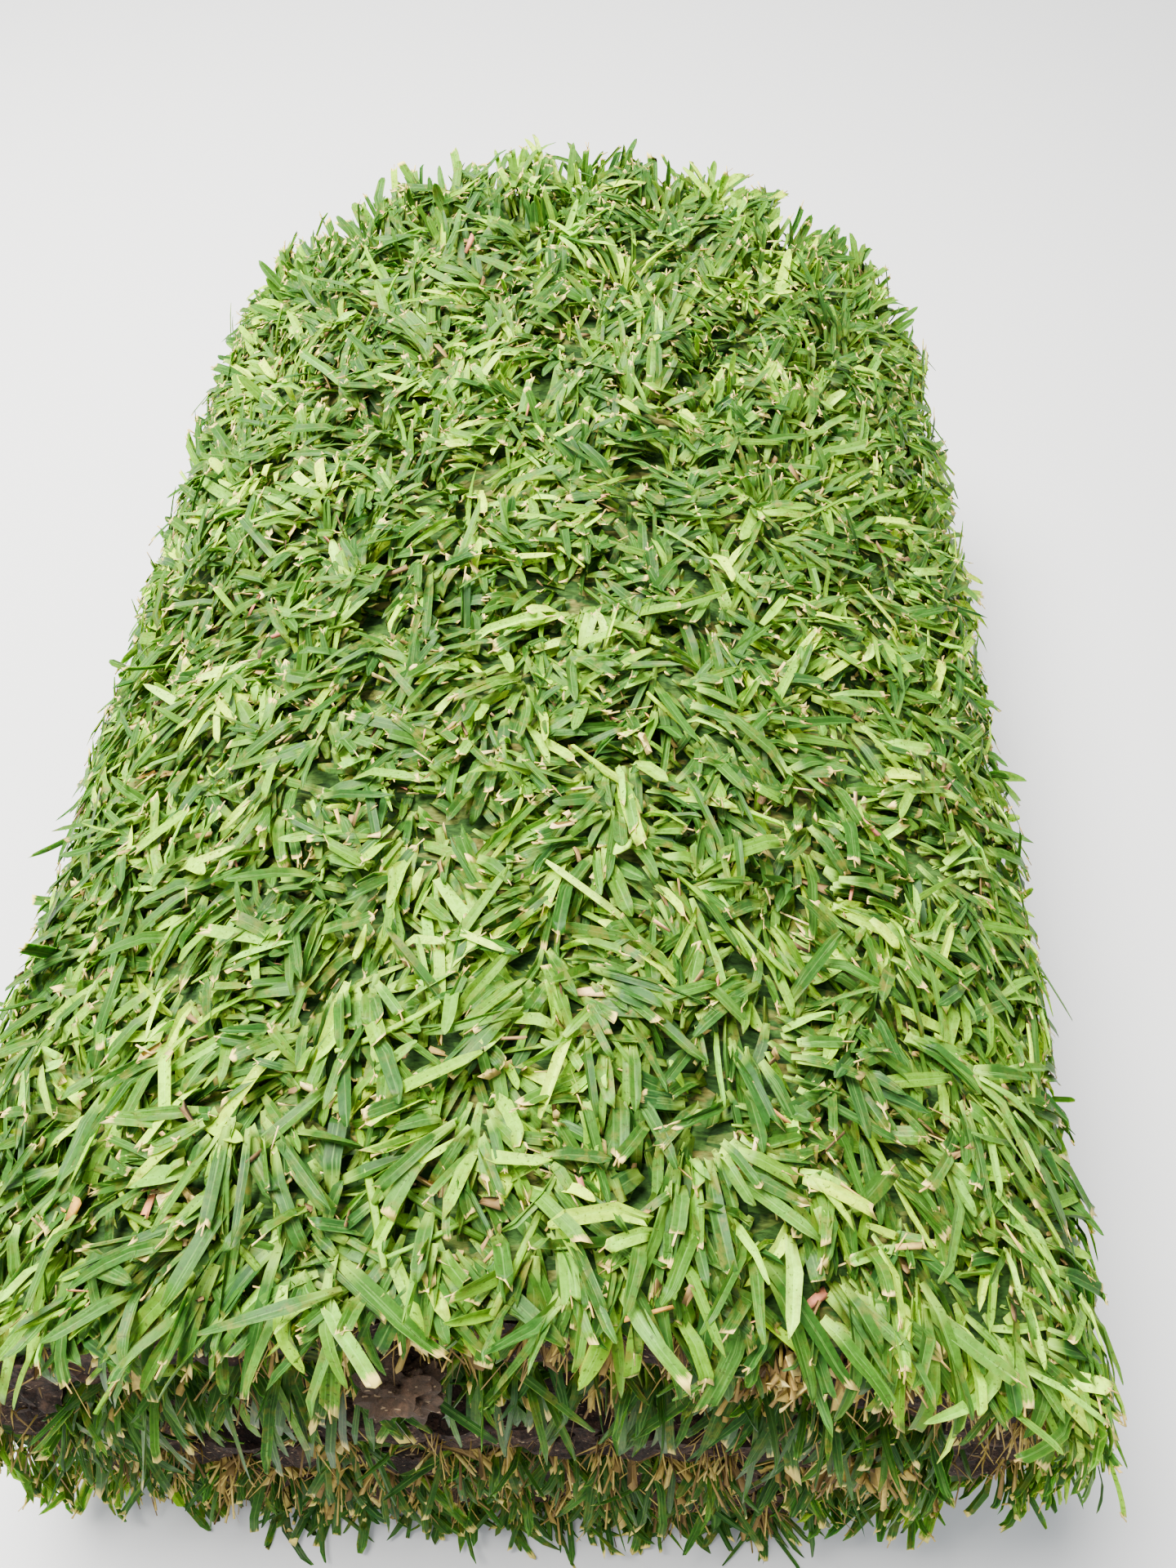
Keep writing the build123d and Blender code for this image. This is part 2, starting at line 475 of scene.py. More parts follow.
profile_shares = (0.0, 0.2, 0.42, 0.64, 0.82, 0.94, 1.0)
long_blade = read_mesh(flat_blade("long_blade", profile_shares))
short_blade = read_mesh(flat_blade("short_blade", (0.0, 0.3, 0.62, 0.88, 1.0)))
plain_blade = read_mesh(flat_blade("plain_blade", (0.0, 0.38, 0.84, 1.0)))
limp_blade = read_mesh(flat_blade("limp_blade", (0.0, 0.38, 0.84, 1.0), sides=3))
sliver = read_mesh(flat_blade("sliver", (0.0, 1.0)))
fibre = read_mesh(flat_blade("fibre", (0.0, 1.0), sides=3))
hair = read_mesh(flat_blade("hair", (0.0, 0.5, 1.0), sides=3))
stem = read_mesh(flat_blade("stem", (0.0, 0.1, 0.4, 0.8, 1.0), sides=5))
print("Faces of a long and a short blade:", len(long_blade["face_starts"]), len(short_blade["face_starts"]))

# %% Outlines
# Each row holds shares of a blade's full width, at the profile shares of its length
profiles = np.array([
    (0.60, 0.90, 1.0, 1.0, 0.92, 0.76, 0.42),
    (0.62, 0.94, 1.0, 0.96, 0.80, 0.52, 0.12),
    (0.64, 0.92, 1.0, 1.0, 1.0, 1.0, 0.96),
    (0.70, 1.0, 1.0, 1.0, 1.0, 1.0, 1.0),
    (0.45, 0.95, 1.0, 0.80, 0.50, 0.28, 0.12),
    (1.0, 1.0, 0.85, 0.7, 0.5, 0.3, 0.15),
])
round_tip, drawn_tip, torn_tip, stub, bud, tapering = range(6)

# %% Bending
def bent(template, plan):
    """Where each vertex of each copy lies from its root: along the strip, across it and up from it."""
    across, along, keel = template["places"].T
    stations, station_of = np.unique(along.round(4), return_inverse=True)
    column = {key: values[:, None] for key, values in plan.items()}

    def frame_at(share):
        lean = column["lean"] + column["droop"] * share
        heading = column["heading"] + column["sway"] * share
        way = np.stack([np.sin(lean) * np.cos(heading), np.sin(lean) * np.sin(heading), np.cos(lean)], -1)
        side = np.stack([-np.sin(heading), np.cos(heading), np.zeros_like(heading)], -1)
        over = np.stack([-np.cos(lean) * np.cos(heading), -np.cos(lean) * np.sin(heading), np.sin(lean)], -1)
        return way, side, over
    halfway = (stations[1:] + stations[:-1]) / 2
    pieces = frame_at(halfway)[0] * (column["length"] * np.diff(stations))[..., None]
    middle = np.concatenate([np.zeros_like(pieces[:, :1]), np.cumsum(pieces, 1)], 1)
    way, side, over = frame_at(stations)
    turn = (column["roll"] + column["twist"] * stations)[..., None]
    side, over = side * np.cos(turn) + over * np.sin(turn), over * np.cos(turn) - side * np.sin(turn)

    outline = np.stack([np.interp(stations, profile_shares, row) for row in profiles], 0)[plan["profile"]]
    breadth = (outline * column["width"])[:, station_of] * across
    depth = (outline * column["thickness"])[:, station_of] * keel
    out = breadth * np.cos(column["fold"])
    lift = np.abs(breadth) * np.sin(column["fold"]) + depth
    ragged = column["slant"] * breadth - column["notch"] * column["width"] * (1 - 2 * np.abs(across))
    torn = ragged * (along > 0.99)
    return (middle[:, station_of] + out[..., None] * side[:, station_of]
            + lift[..., None] * over[:, station_of] + torn[..., None] * way[:, station_of])

# %% Planting
overhang, share_past_overhang = 8.0, 0.6
ground_gap = 3.0

def eased(values, limit, share):
    """Values past a limit keep only a share of what is past it."""
    return np.where(values > limit, limit + (values - limit) * share, values)

def planted(plan, template, give=0.4):
    """Copies of a template on the wound strip, in the roll's frame, with none under the ground."""
    offsets = bent(template, plan)
    place, facing = curve_at(plan["along"])
    tangent = np.stack([-facing[:, 1], facing[:, 0]], -1)
    lift = eased(offsets[..., 2] + plan["over"][:, None], tip_height, give)[..., None]
    in_section = place[:, None] + tangent[:, None] * offsets[..., :1] + facing[:, None] * lift
    in_section[..., 1] -= plan["sag"][:, None] * template["places"][:, 1] ** 2
    across = plan["across"][:, None] + offsets[..., 1]
    across = np.sign(across) * eased(np.abs(across), half_width + overhang, share_past_overhang)
    places = stand(np.stack([in_section[..., 0], across, in_section[..., 1]], -1))
    low = ground_gap / 1000  # what is lower is squeezed into this gap, and never reaches the ground
    places[..., 2] = np.where(places[..., 2] < low, low * np.exp(places[..., 2] / low - 1), places[..., 2])
    return places

def join_copies(name, template, places, marks):
    """One mesh of every copy, with its marks as attributes and its flat shape as its UV map."""
    copies, count = places.shape[:2]
    sizes = {key: len(values) for key, values in template.items() if key != "sides"}
    mesh = bpy.data.meshes.new(name)
    mesh.vertices.add(copies * count)
    mesh.edges.add(copies * sizes["edges"])
    mesh.loops.add(copies * sizes["corners"])
    mesh.polygons.add(copies * sizes["face_starts"])

    def shifted(values, step):
        rise = np.arange(copies, dtype=np.int32).reshape((-1,) + (1,) * values.ndim) * step
        return (values[None] + rise).ravel()
    mesh.vertices.foreach_set("co", places.astype(np.float32).ravel())
    mesh.edges.foreach_set("vertices", shifted(template["edges"], count))
    mesh.loops.foreach_set("vertex_index", shifted(template["corners"], count))
    mesh.loops.foreach_set("edge_index", shifted(template["corner_edges"], sizes["edges"]))
    mesh.polygons.foreach_set("loop_start", shifted(template["face_starts"], sizes["corners"]))
    mesh.polygons.foreach_set("use_smooth", np.tile(template["smooth_faces"], copies))
    mesh.edges.foreach_set("use_edge_sharp", np.tile(template["sharp_edges"], copies))
    flat = template["places"][template["corners"]][:, :2] + np.array([0.5, 0.0])
    flat = np.tile(flat, (copies, 1)).astype(np.float32)
    mesh.uv_layers.new(name="flat").data.foreach_set("uv", flat.ravel())
    for mark, values in marks.items():
        attribute = mesh.attributes.new(mark, "FLOAT", "POINT")
        attribute.data.foreach_set("value", np.repeat(values, count).astype(np.float32))
    mesh.update()
    return mesh

def plant(name, template, plan, marks, material):
    """One piece of copies of a template, each placed and bent by the plan."""
    add_piece(name, join_copies(name, template, planted(plan, template), marks), material)

# %% [markdown]
# ## Leaf green
#
# The leaves are a soft mid green. The youngest are yellow-green, and the oldest have olive and brown
# stains. Fine veins run along each leaf, some leaves have whitish streaks, partly a waxy coating and
# partly a painted sheen, and where the mower tore a leaf its end is dry and straw-coloured. The marks
# of each leaf come from attributes, and what runs along or across it comes from the UV map, which
# holds the flat leaf.

# %% The leaves' material
# A living leaf has a thin waxy skin, so it shines softly, with a roughness of about 0.4. Some light
# goes through it, which subsurface scattering over half a millimetre gives.
leaf_green, tree = new_material("leaf of soft buffalo grass")
flat_map = add_node(tree, "SeparateXYZ", [add_node(tree, "UVMap", uv_map="flat")])
across_leaf, along_leaf = flat_map.outputs[0], flat_map.outputs[1]
place = add_node(tree, "TexCoord").outputs["Object"]
tone, dry, age, chance = (
    add_node(tree, "Attribute", attribute_name=mark).outputs["Fac"]
    for mark in ("tone", "dry", "age", "chance")
)
steps_of_tone = (0.0, 0.3, 0.5, 0.7, 0.85, 1.0)
warm = ("224712", "2A5314", "376012", "5C8A0D", "9AD00E", "BEE412")
cool = ("1C3E1E", "254D22", "345D24", "50862C", "8AD64A", "B6EC56")
warm = ramp(tree, tone, list(zip(steps_of_tone, warm)))
cool = ramp(tree, tone, list(zip(steps_of_tone, cool)))
coolness = ramp(tree, chance, [(0.4, 0.0), (1.0, 0.6)])
base = mixed(tree, coolness, warm, cool)

# Old leaves are duller, and every leaf is mottled in patches of about 2 mm
dulling = calculate(tree, "MULTIPLY", age, 0.25)
base = mixed(tree, dulling, base, "4C7028")
mottle_noise = add_node(tree, "TexNoise", {"Vector": place, "Scale": 480.0, "Detail": 4.0, "Roughness": 0.65})
mottle = ramp(tree, mottle_noise, [(0.38, 0.72), (0.56, 1.0)])
base = shaded(tree, base, mottle)

# The foot of a leaf is its pale sheath
is_foot = ramp(tree, along_leaf, [(0.0, 0.7), (0.28, 0.0)])
base = mixed(tree, is_foot, base, "A4D040")

# Streaks run along the leaf, four or five of them across it
streak_place = add_node(tree, "CombineXYZ", [
    calculate(tree, "MULTIPLY", across_leaf, 7.0),
    calculate(tree, "MULTIPLY", along_leaf, 1.6),
    calculate(tree, "MULTIPLY", chance, 90.0),
])
streaks = add_node(tree, "TexNoise", {"Vector": streak_place, "Scale": 1.0, "Detail": 2.0})
shade = ramp(tree, streaks, [(0.3, 0.87), (0.7, 1.0)])
base = shaded(tree, base, shade)
# Painted sheen: where the streak noise is high a whitish green is mixed in, partly a waxy coating and partly
# a sheen of the sky.
bloom_and_painted_sheen = ramp(tree, streaks, [(0.56, 0.0), (0.74, 0.16)])
base = mixed(tree, bloom_and_painted_sheen, base, "A2DE66")

# The fold down the middle
off_middle = calculate(tree, "SUBTRACT", across_leaf, 0.5)
off_middle = calculate(tree, "ABSOLUTE", off_middle)
midrib = ramp(tree, off_middle, [(0.0, 0.16), (0.06, 0.0)])
base = mixed(tree, midrib, base, "9CCA5C")

# Stains of 2 to 6 mm on older leaves, and dark specks of half a millimetre
stain_noise = add_node(tree, "TexNoise", {"Vector": place, "Scale": 210.0, "Detail": 3.0, "Roughness": 0.65})
stain = ramp(tree, stain_noise, [(0.5, 0.0), (0.66, 0.85)])
stain = calculate(tree, "MULTIPLY", stain, age)
base = mixed(tree, stain, base, "68651F")
speck_noise = add_node(tree, "TexNoise", {"Vector": place, "Scale": 800.0, "Detail": 2.0})
specks = ramp(tree, speck_noise, [(0.62, 0.0), (0.69, 0.75)])
base = mixed(tree, specks, base, "2F3A17")

# The dry end starts where the way along the leaf, with some noise, passes 1 less its share
raggedness = calculate(tree, "MULTIPLY", streaks, 0.16)
reach = calculate(tree, "ADD", along_leaf, raggedness)
reach = calculate(tree, "ADD", reach, dry)
pale_share = add_node(tree, "MapRange", {"Value": reach, "From Min": 1.05, "From Max": 1.11})
base = mixed(tree, pale_share, base, "E4CC66")

bump = add_node(tree, "Bump", {"Strength": 0.3, "Distance": 0.0003, "Height": streaks})
finish_material(tree, {
    "Base Color": base, "Roughness": 0.42, "Specular IOR Level": 0.07, "Normal": bump,
    "Subsurface Weight": 0.35, "Subsurface Radius": (0.6, 1.0, 0.25), "Subsurface Scale": 0.0008,
})

# %% The straw's material
# Dead leaves and sheaths: dull, pale and fibrous, a few of them pink or orange.
straw, tree = new_material("dry straw of old sheaths")
tone = add_node(tree, "Attribute", attribute_name="tone").outputs["Fac"]
place = add_node(tree, "TexCoord").outputs["Object"]
straws = [
    (0.0, "402C16"), (0.3, "8C7038"), (0.6, "CEB050"),
    (0.86, "F0DC80"), (0.93, "C8705A"), (1.0, "D6A02E"),
]
base = ramp(tree, tone, straws)
streaks = add_node(tree, "TexNoise", {"Vector": place, "Scale": 700.0, "Detail": 3.0})
shade = ramp(tree, streaks, [(0.4, 0.0), (0.7, 0.5)])
base = mixed(tree, shade, base, "7A5E3E")
finish_material(tree, {"Base Color": base, "Roughness": 0.7, "Specular IOR Level": 0.25})

# %% [markdown]
# ## How leaves lie
#
# Leaves grow in shoots of three to five. Most lie nearly flat, in layers, and they point downhill on
# the roll's sides and outwards at its two ends. Neighbouring tufts lean the same way. A few stand up.

# %% Where leaves grow, and which way they are pressed
rng = np.random.default_rng(11)
ridge = start_of[f"crown_{outer_turn}"] + half_crown * (outer_radius - mown_height + crown_reach)
end_reach = 30.0
end_droop, end_droop_reach = 7.0, 12.0

def jittered_grid(low, high, spacing):
    """Roots in an uneven grid over a stretch of the strip: way along and place across."""
    rows = np.arange(low + spacing / 2, high, spacing)
    columns = np.arange(-half_width + spacing / 2, half_width, spacing)
    grid = np.stack(np.meshgrid(rows, columns, indexing="ij"), -1).reshape(-1, 2)
    return grid + rng.uniform(-0.6, 0.6, grid.shape) * spacing

def outward(along, across):
    """How far and which way leaves are pressed: downhill on the sides and out at the two ends."""
    downhill = (along - ridge) / (free_end - ridge)
    past_near = np.exp(-(across + half_width) / end_reach)
    past_far = np.exp(-(half_width - across) / end_reach)
    sideways = 1.6 * downhill * np.abs(downhill) ** 0.3
    endways = 1.6 * past_far - 1.1 * past_near + 0.75 * np.tanh(across / 140.0)
    return np.stack([sideways, endways], -1)

def spreads(count, **sizes):
    """Random numbers for each size, given as a middle, a spread, a least and a most."""
    return {key: np.clip(rng.normal(middle, spread, count), least, most)
            for key, (middle, spread, least, most) in sizes.items()}

def chosen(plan, mask):
    """The part of a plan that a mask picks out."""
    return {key: values[mask] for key, values in plan.items()}

# %% Plans for leaves
def leaf_plan(roots, low, high, lean, length, torn_share, own_way):
    """Sizes and bends of leaves at given roots, which leave the tuft between a low and a high level."""
    along, across = roots.T
    count = len(along)
    push = outward(along, across)
    pressed = np.clip(np.hypot(*push.T), 0, 1.6)
    with_tuft = drift(along, across, wavelength=50.0, seed=5)
    aim = push + 1.5 * with_tuft + 0.6 * np.stack([np.cos(own_way), np.sin(own_way)], -1)
    torn = rng.random(count) < torn_share
    plan = spreads(
        count, width=(4.7, 0.9, 2.6, 7.0), lean=(radians(lean), radians(13), 0.1, 1.65),
        droop=(radians(16), radians(18), -0.4, 1.2), sway=(0, radians(18), -1, 1),
        roll=(0, radians(22), -1, 1), twist=(0, radians(28), -1, 1),
        fold=(radians(20), radians(10), 0.02, 0.7),
    )
    plan["fold"] += radians(26) * (rng.random(count) < 0.28)
    plan["droop"] += radians(10) * pressed
    past_near = np.exp(-(across + half_width) / end_droop_reach)
    past_far = np.exp(-(half_width - across) / end_droop_reach)
    # On the crown, leaves stand more upright towards the far end
    plan["lean"] -= radians(14) * (1 + np.tanh(across / 120.0)) * (np.abs(along - ridge) < 250)
    level = rng.uniform(low, high, count) + swell(along, across)
    plan |= {
        "along": along, "across": across, "heading": np.arctan2(aim[:, 1], aim[:, 0]),
        "over": level - end_droop * np.hypot(past_near, past_far),
        "length": np.clip(rng.lognormal(np.log(length), 0.32, count), 9.0, 40.0) * np.where(torn, 0.9, 1.1),
        "thickness": np.full(count, 0.4), "sag": np.full(count, 1.0),
        "slant": np.where(torn, rng.normal(0, 0.5, count), 0.0),
        "notch": np.where(torn, rng.normal(0.15, 0.35, count), -0.1),
        "profile": np.where(torn, torn_tip, np.where(rng.random(count) < 0.35, drawn_tip, round_tip)),
    }
    return plan, torn

def leaf_marks(plan, torn, tone, spread, age):
    """Colour marks: tone from 0, dark, to 1, lime; the dry share; age from 0 to 1; and a chance number."""
    count = len(torn)
    patch = 0.15 * drift(plan["along"], plan["across"], wavelength=95.0, seed=21)[:, 0]
    # Leaves on tufts get a lighter tone and leaves in hollows a darker one: partly older leaves, partly
    # painted shade of the hollows.
    patch += 0.02 * swell(plan["along"], plan["across"])
    return {
        "tone": np.clip(tone + patch + rng.normal(0, spread, count), 0, 1),
        "dry": np.where(torn, rng.uniform(-0.02, 0.08, count), -1.0),
        "age": np.clip(rng.normal(age, 0.3, count), 0, 1), "chance": rng.random(count),
    }

# %% Three layers of leaves
old_roots = jittered_grid(free_start, free_end, 6.4)
any_way = rng.uniform(0, 2 * pi, len(old_roots))
old, old_torn = leaf_plan(
    old_roots, low=18.0, high=24.5, lean=86, length=18.0, torn_share=0.6, own_way=any_way,
)
old_marks = leaf_marks(old, old_torn, tone=0.4, spread=0.2, age=0.75)

shoots = jittered_grid(free_start, free_end, 11.6)
per_shoot = rng.integers(3, 6, len(shoots))
shoot_roots = np.repeat(shoots, per_shoot, 0) + rng.normal(0, 1.8, (per_shoot.sum(), 2))
shoot_tone = np.repeat(rng.normal(0.43, 0.16, len(shoots)), per_shoot)
turn_in_shoot = np.concatenate([np.arange(leaves) / leaves for leaves in per_shoot])
fan = 2 * pi * (np.repeat(rng.random(len(shoots)), per_shoot) + turn_in_shoot)
full, full_torn = leaf_plan(
    shoot_roots, low=17.5, high=27.0, lean=69, length=21.5, torn_share=0.55, own_way=fan,
)
full_marks = leaf_marks(full, full_torn, tone=shoot_tone, spread=0.23, age=0.32)

young_roots = jittered_grid(free_start, free_end, 30.0)
any_way = rng.uniform(0, 2 * pi, len(young_roots))
young, young_torn = leaf_plan(
    young_roots, low=16.0, high=22.0, lean=46, length=17.0, torn_share=0.15, own_way=any_way,
)
young["width"] *= 0.8
young_marks = leaf_marks(young, young_torn, tone=0.82, spread=0.12, age=0.02)
print("Old, full-grown and young leaves:", len(old_torn), len(full_torn), len(young_torn))

# %% Planting the leaves
tips_of_torn = []
def plant_leaves(name, template, plan, marks, torn, give=0.4):
    """One piece of leaves. The last two rings of each torn leaf are kept, for its frayed fibres."""
    plan["across"] = np.clip(plan["across"], 1 - half_width, half_width - 1)
    places = planted(plan, template, give)
    if template["sides"] == 4:
        tips_of_torn.append(places[torn].reshape(torn.sum(), -1, 4, 3)[:, -2:])
    add_piece(name, join_copies(name, template, places, marks), leaf_green)

def plant_parts(template, plan, marks, torn, parts):
    """Plants a plan's leaves as several pieces, each of the leaves that its mask picks out."""
    for name, mask in parts.items():
        plant_leaves(name, template, chosen(plan, mask), chosen(marks, mask), torn[mask])

is_near = old["across"] < 0
plant_parts(limp_blade, old, old_marks, old_torn, {"old_leaves_near": is_near, "old_leaves_far": ~is_near})

top_reach = 165.0
on_top = np.abs(full["along"] - ridge) < top_reach
is_near, is_right = full["across"] < 0, full["along"] < ridge
plant_parts(plain_blade, full, full_marks, full_torn, {
    "leaves_top_near": on_top & is_near, "leaves_top_far": on_top & ~is_near,
    "leaves_right": ~on_top & is_right, "leaves_left": ~on_top & ~is_right,
})
plant_leaves("young_leaves", short_blade, young, young_marks, young_torn)

# %% [markdown]
# ## Straw, runners and roots
#
# Between the leaves lie bits of dead leaf, mostly in patches. At both ends of the roll the cut shows
# the squeezed grass between the turns, pale stubs of sheaths and strands of thatch at the top of the
# soil, hair roots and crumbs. The strip's own outer and inner ends are cut in the same way.

# %% Straw between the leaves
def loose_plan(along, across, heading, over, profile, **sizes):
    """Sizes and bends of bits that lie at given places and headings."""
    count = len(along)
    plan = spreads(count, **{
        "droop": (0, 0.25, -0.7, 0.7), "sway": (0, 0.3, -1, 1), "roll": (0, 0.5, -1.5, 1.5),
        "twist": (0, 0.5, -1.5, 1.5), "fold": (0.3, 0.2, 0, 0.8), "slant": (0, 0.7, -2, 2),
        "notch": (0, 0.4, -1, 1), "thickness": (0.35, 0.05, 0.2, 0.5), "sag": (0, 0, 0, 0), **sizes,
    })
    return plan | {"along": along, "across": across, "heading": heading, "over": over,
                   "profile": np.full(count, profile)}

def in_patches(count, wavelength, seed):
    """Places on the outside of the roll, most of them in patches."""
    tries = 4 * count
    along, across = rng.uniform(free_start, free_end, tries), rng.uniform(-half_width, half_width, tries)
    liking = drift(along, across, wavelength, seed)[:, 0] + rng.normal(0, 0.5, tries)
    best = np.argsort(-liking)[:count]
    return along[best], across[best]

def strewn_plan(count, patch_size, seed, low, high, profile, **sizes):
    """Sizes and bends of bits in patches that lie every way, between a low and a high level."""
    along, across = in_patches(count, patch_size, seed)
    heading = rng.uniform(0, 2 * pi, count)
    over = rng.uniform(low, high, count) + swell(along, across)
    return loose_plan(along, across, heading, over, profile, **sizes)

count = 3300
plan = strewn_plan(
    count, patch_size=34.0, seed=31, low=17, high=28, profile=stub,
    width=(1.9, 1.0, 0.5, 4.4), length=(6.0, 3.2, 2, 18), lean=(radians(74), radians(18), 0.2, 1.6),
)
plant("straw_between_leaves", sliver, plan, {"tone": rng.random(count)}, straw)

# %% Young buds and runners between the leaves
# Swollen young sheaths are pale lime. Runners are round stems, half hidden by leaves.
round_stem = {"thickness": (1, 0, 1, 1), "slant": (0, 0, 0, 0), "notch": (0, 0, 0, 0), "fold": (0, 0, 0, 0)}
count = 220
plan = strewn_plan(
    count, patch_size=70.0, seed=32, low=20, high=26, profile=bud, width=(4.6, 1.2, 2.4, 7.0),
    length=(13, 3, 7, 20), lean=(radians(80), radians(12), 0.6, 1.6), **round_stem,
)
marks = leaf_marks(plan, np.zeros(count, bool), tone=0.93, spread=0.06, age=0.1)
plant("young_buds", stem, plan, marks, leaf_green)

count = 150
plan = strewn_plan(
    count, patch_size=120.0, seed=33, low=20, high=26, profile=stub, width=(2.4, 0.4, 1.6, 3.4),
    length=(34, 9, 18, 55), lean=(radians(88), radians(6), 1.3, 1.7), **round_stem,
)
marks = leaf_marks(plan, np.zeros(count, bool), tone=0.86, spread=0.1, age=0.5)
plant("runners", stem, plan, marks, leaf_green)

# %% Long leaves
# A few leaves escaped the mower. They stand at the far end, hang over the near one, or stick out.
def long_leaves(name, count, low, high, near, far, give=0.45, **sizes):
    """One piece of long leaves that grow on a part of the strip, from low to high and near to far."""
    along, across = rng.uniform(low, high, count), rng.uniform(near, far, count)
    heading = np.arctan2(*outward(along, across).T[::-1]) + rng.normal(0, 0.7, count)
    plan = loose_plan(along, across, heading, rng.uniform(14, 24, count), drawn_tip, **sizes)
    is_torn = rng.random(count) < 0.3
    plan["profile"] = np.where(is_torn, torn_tip, drawn_tip)
    marks = leaf_marks(plan, is_torn, tone=0.52, spread=0.16, age=0.2)
    plant_leaves(name, long_blade, plan, marks, is_torn, give)

loose_bend = {
    "twist": (0, 0.3, -1, 1), "roll": (0, 0.25, -1, 1), "notch": (0, 0.1, -1, 1), "thickness": (0.4, 0, 0, 1),
}
long_leaves(
    "long_leaves_far", 220, ridge - 190, ridge + 190, half_width - 70, half_width - 2, give=0.6, **loose_bend,
    width=(4.6, 0.8, 3, 6), length=(24, 5, 16, 29), lean=(radians(24), radians(14), 0, 1),
)
long_leaves(
    "long_leaves_near", 110, ridge - 250, ridge + 250, 2 - half_width, 22 - half_width, **loose_bend,
    width=(5.4, 0.8, 3.6, 7), length=(34, 7, 20, 48), lean=(radians(74), radians(12), 0.8, 1.5),
    droop=(radians(42), radians(14), 0.2, 1.3), sag=(5, 3, 0, 12),
)
long_leaves(
    "long_leaves_strewn", 230, free_start + 30, free_end - 60, -half_width, half_width, **loose_bend,
    width=(4.6, 0.8, 3, 6), length=(32, 7, 20, 46), lean=(radians(62), radians(18), 0.3, 1.3),
)
shoulder = start_of["left_1"]
long_leaves(
    "long_leaves_left", 70, shoulder - 40, shoulder + 110, 10 - half_width, half_width - 10, give=0.6,
    **loose_bend, width=(4.6, 0.8, 3, 6), length=(30, 6, 20, 42), lean=(radians(42), radians(14), 0.1, 1.1),
)

# %% Where bits stick out of the cuts
def at_ends(count, low, high, depth, looseness=0.5):
    """Places in bunches just inside the roll's two ends, along part of the strip, and the way out."""
    tries = 3 * count
    along, end = rng.uniform(low, high, tries), rng.choice([-1.0, 1.0], tries)
    liking = drift(along, 40.0 * end, wavelength=27.0, seed=34)[:, 0] + rng.normal(0, looseness, tries)
    best = np.argsort(-liking)[:count]
    across = end[best] * (half_width - rng.uniform(0.5, depth, count))
    return np.stack([along[best], across, end[best] * pi / 2])

def at_cuts(count, depth):
    """Places just inside the strip's outer and inner ends, and the way out of them."""
    outer, inside = rng.random(count) < 0.65, rng.uniform(0.5, depth, count)
    along = np.where(outer, strip_length - inside, inside)
    return np.stack([along, rng.uniform(-half_width, half_width, count), np.where(outer, 0.0, pi)])

def near_clump(count, along, spread):
    """Places crowded together at the near end, and the way out of it."""
    across = rng.uniform(-8.0, 3.0, count) - half_width
    return np.stack([rng.normal(along, spread, count), across, np.full(count, -pi / 2)])

# %% Squeezed leaves between the turns, and crushed ones under the roll
def squeezed(name, spots, high, tone, **sizes):
    """One piece of leaves that stick out at given spots, from the soil up to a high level."""
    along, across, way_out = spots
    count = len(along)
    heading = way_out + rng.normal(0, 1.0, count)
    plan = loose_plan(along, across, heading, rng.uniform(1.0, high, count), round_tip, **sizes)
    is_torn = rng.random(count) < 0.3
    plan["profile"] = np.where(is_torn, torn_tip, np.where(rng.random(count) < 0.5, drawn_tip, round_tip))
    marks = leaf_marks(plan, is_torn, tone, spread=0.15, age=0.4)
    plant_leaves(name, limp_blade, plan, marks, is_torn)

# The low tones of these leaves are painted shade: they lie in the shade between the turns and under the roll.
spots = at_ends(980, start_of["crown_0"] - 40, start_of["left_0"] + 40, depth=14.0, looseness=1.4)
squeezed(
    "hanging_leaves", spots, high=squeezed_pile - 1, tone=0.12,
    width=(4.6, 1.0, 2.4, 6.4), length=(30, 10, 12, 48), lean=(radians(118), radians(22), 1.4, 2.7),
    droop=(radians(18), radians(20), -0.3, 1.1), sag=(9, 8, 0, 24),
)
between_turns = at_ends(1250, 0, start_of["right_1"] + 25, depth=16.0)
squeezed(
    "squeezed_leaves", np.hstack([between_turns, at_cuts(60, depth=14.0)]), high=squeezed_pile - 1, tone=0.04,
    width=(4.2, 1.1, 1.6, 6.2), length=(22, 8, 8, 42), lean=(radians(88), radians(12), 1.0, 2.0),
    sag=(8, 7, 0, 26),
)
under_roll = at_ends(480, start_of["ground_1"], strip_length, depth=10.0)
squeezed(
    "crushed_leaves", np.hstack([under_roll, at_cuts(110, depth=14.0)]), high=crushed_pile - 2, tone=0.1,
    width=(3.8, 1.0, 1.6, 6.0), length=(22, 8, 8, 40), lean=(radians(86), radians(8), 1.2, 1.7),
    sag=(0, 1, 0, 2),
)

# %% Stubs of sheaths, strands of thatch and hair roots
def along_all_cuts(round_turns, at_tails, depth):
    """Places round all turns at the roll's two ends, and at the strip's outer and inner ends."""
    return np.hstack([at_ends(round_turns, 0, strip_length, depth), at_cuts(at_tails, depth)])

def bits(name, template, spots, low, high, tones, slot="thatch", profile=stub, **sizes):
    """One piece of straw-like bits that stick out at given spots, between a low and a high level."""
    along, across, way_out = spots
    count = len(along)
    heading = way_out + rng.normal(0, 0.8, count)
    plan = loose_plan(along, across, heading, rng.uniform(low, high, count), profile, **sizes)
    plant(name, template, plan, {"tone": rng.uniform(*tones, count)}, straw)

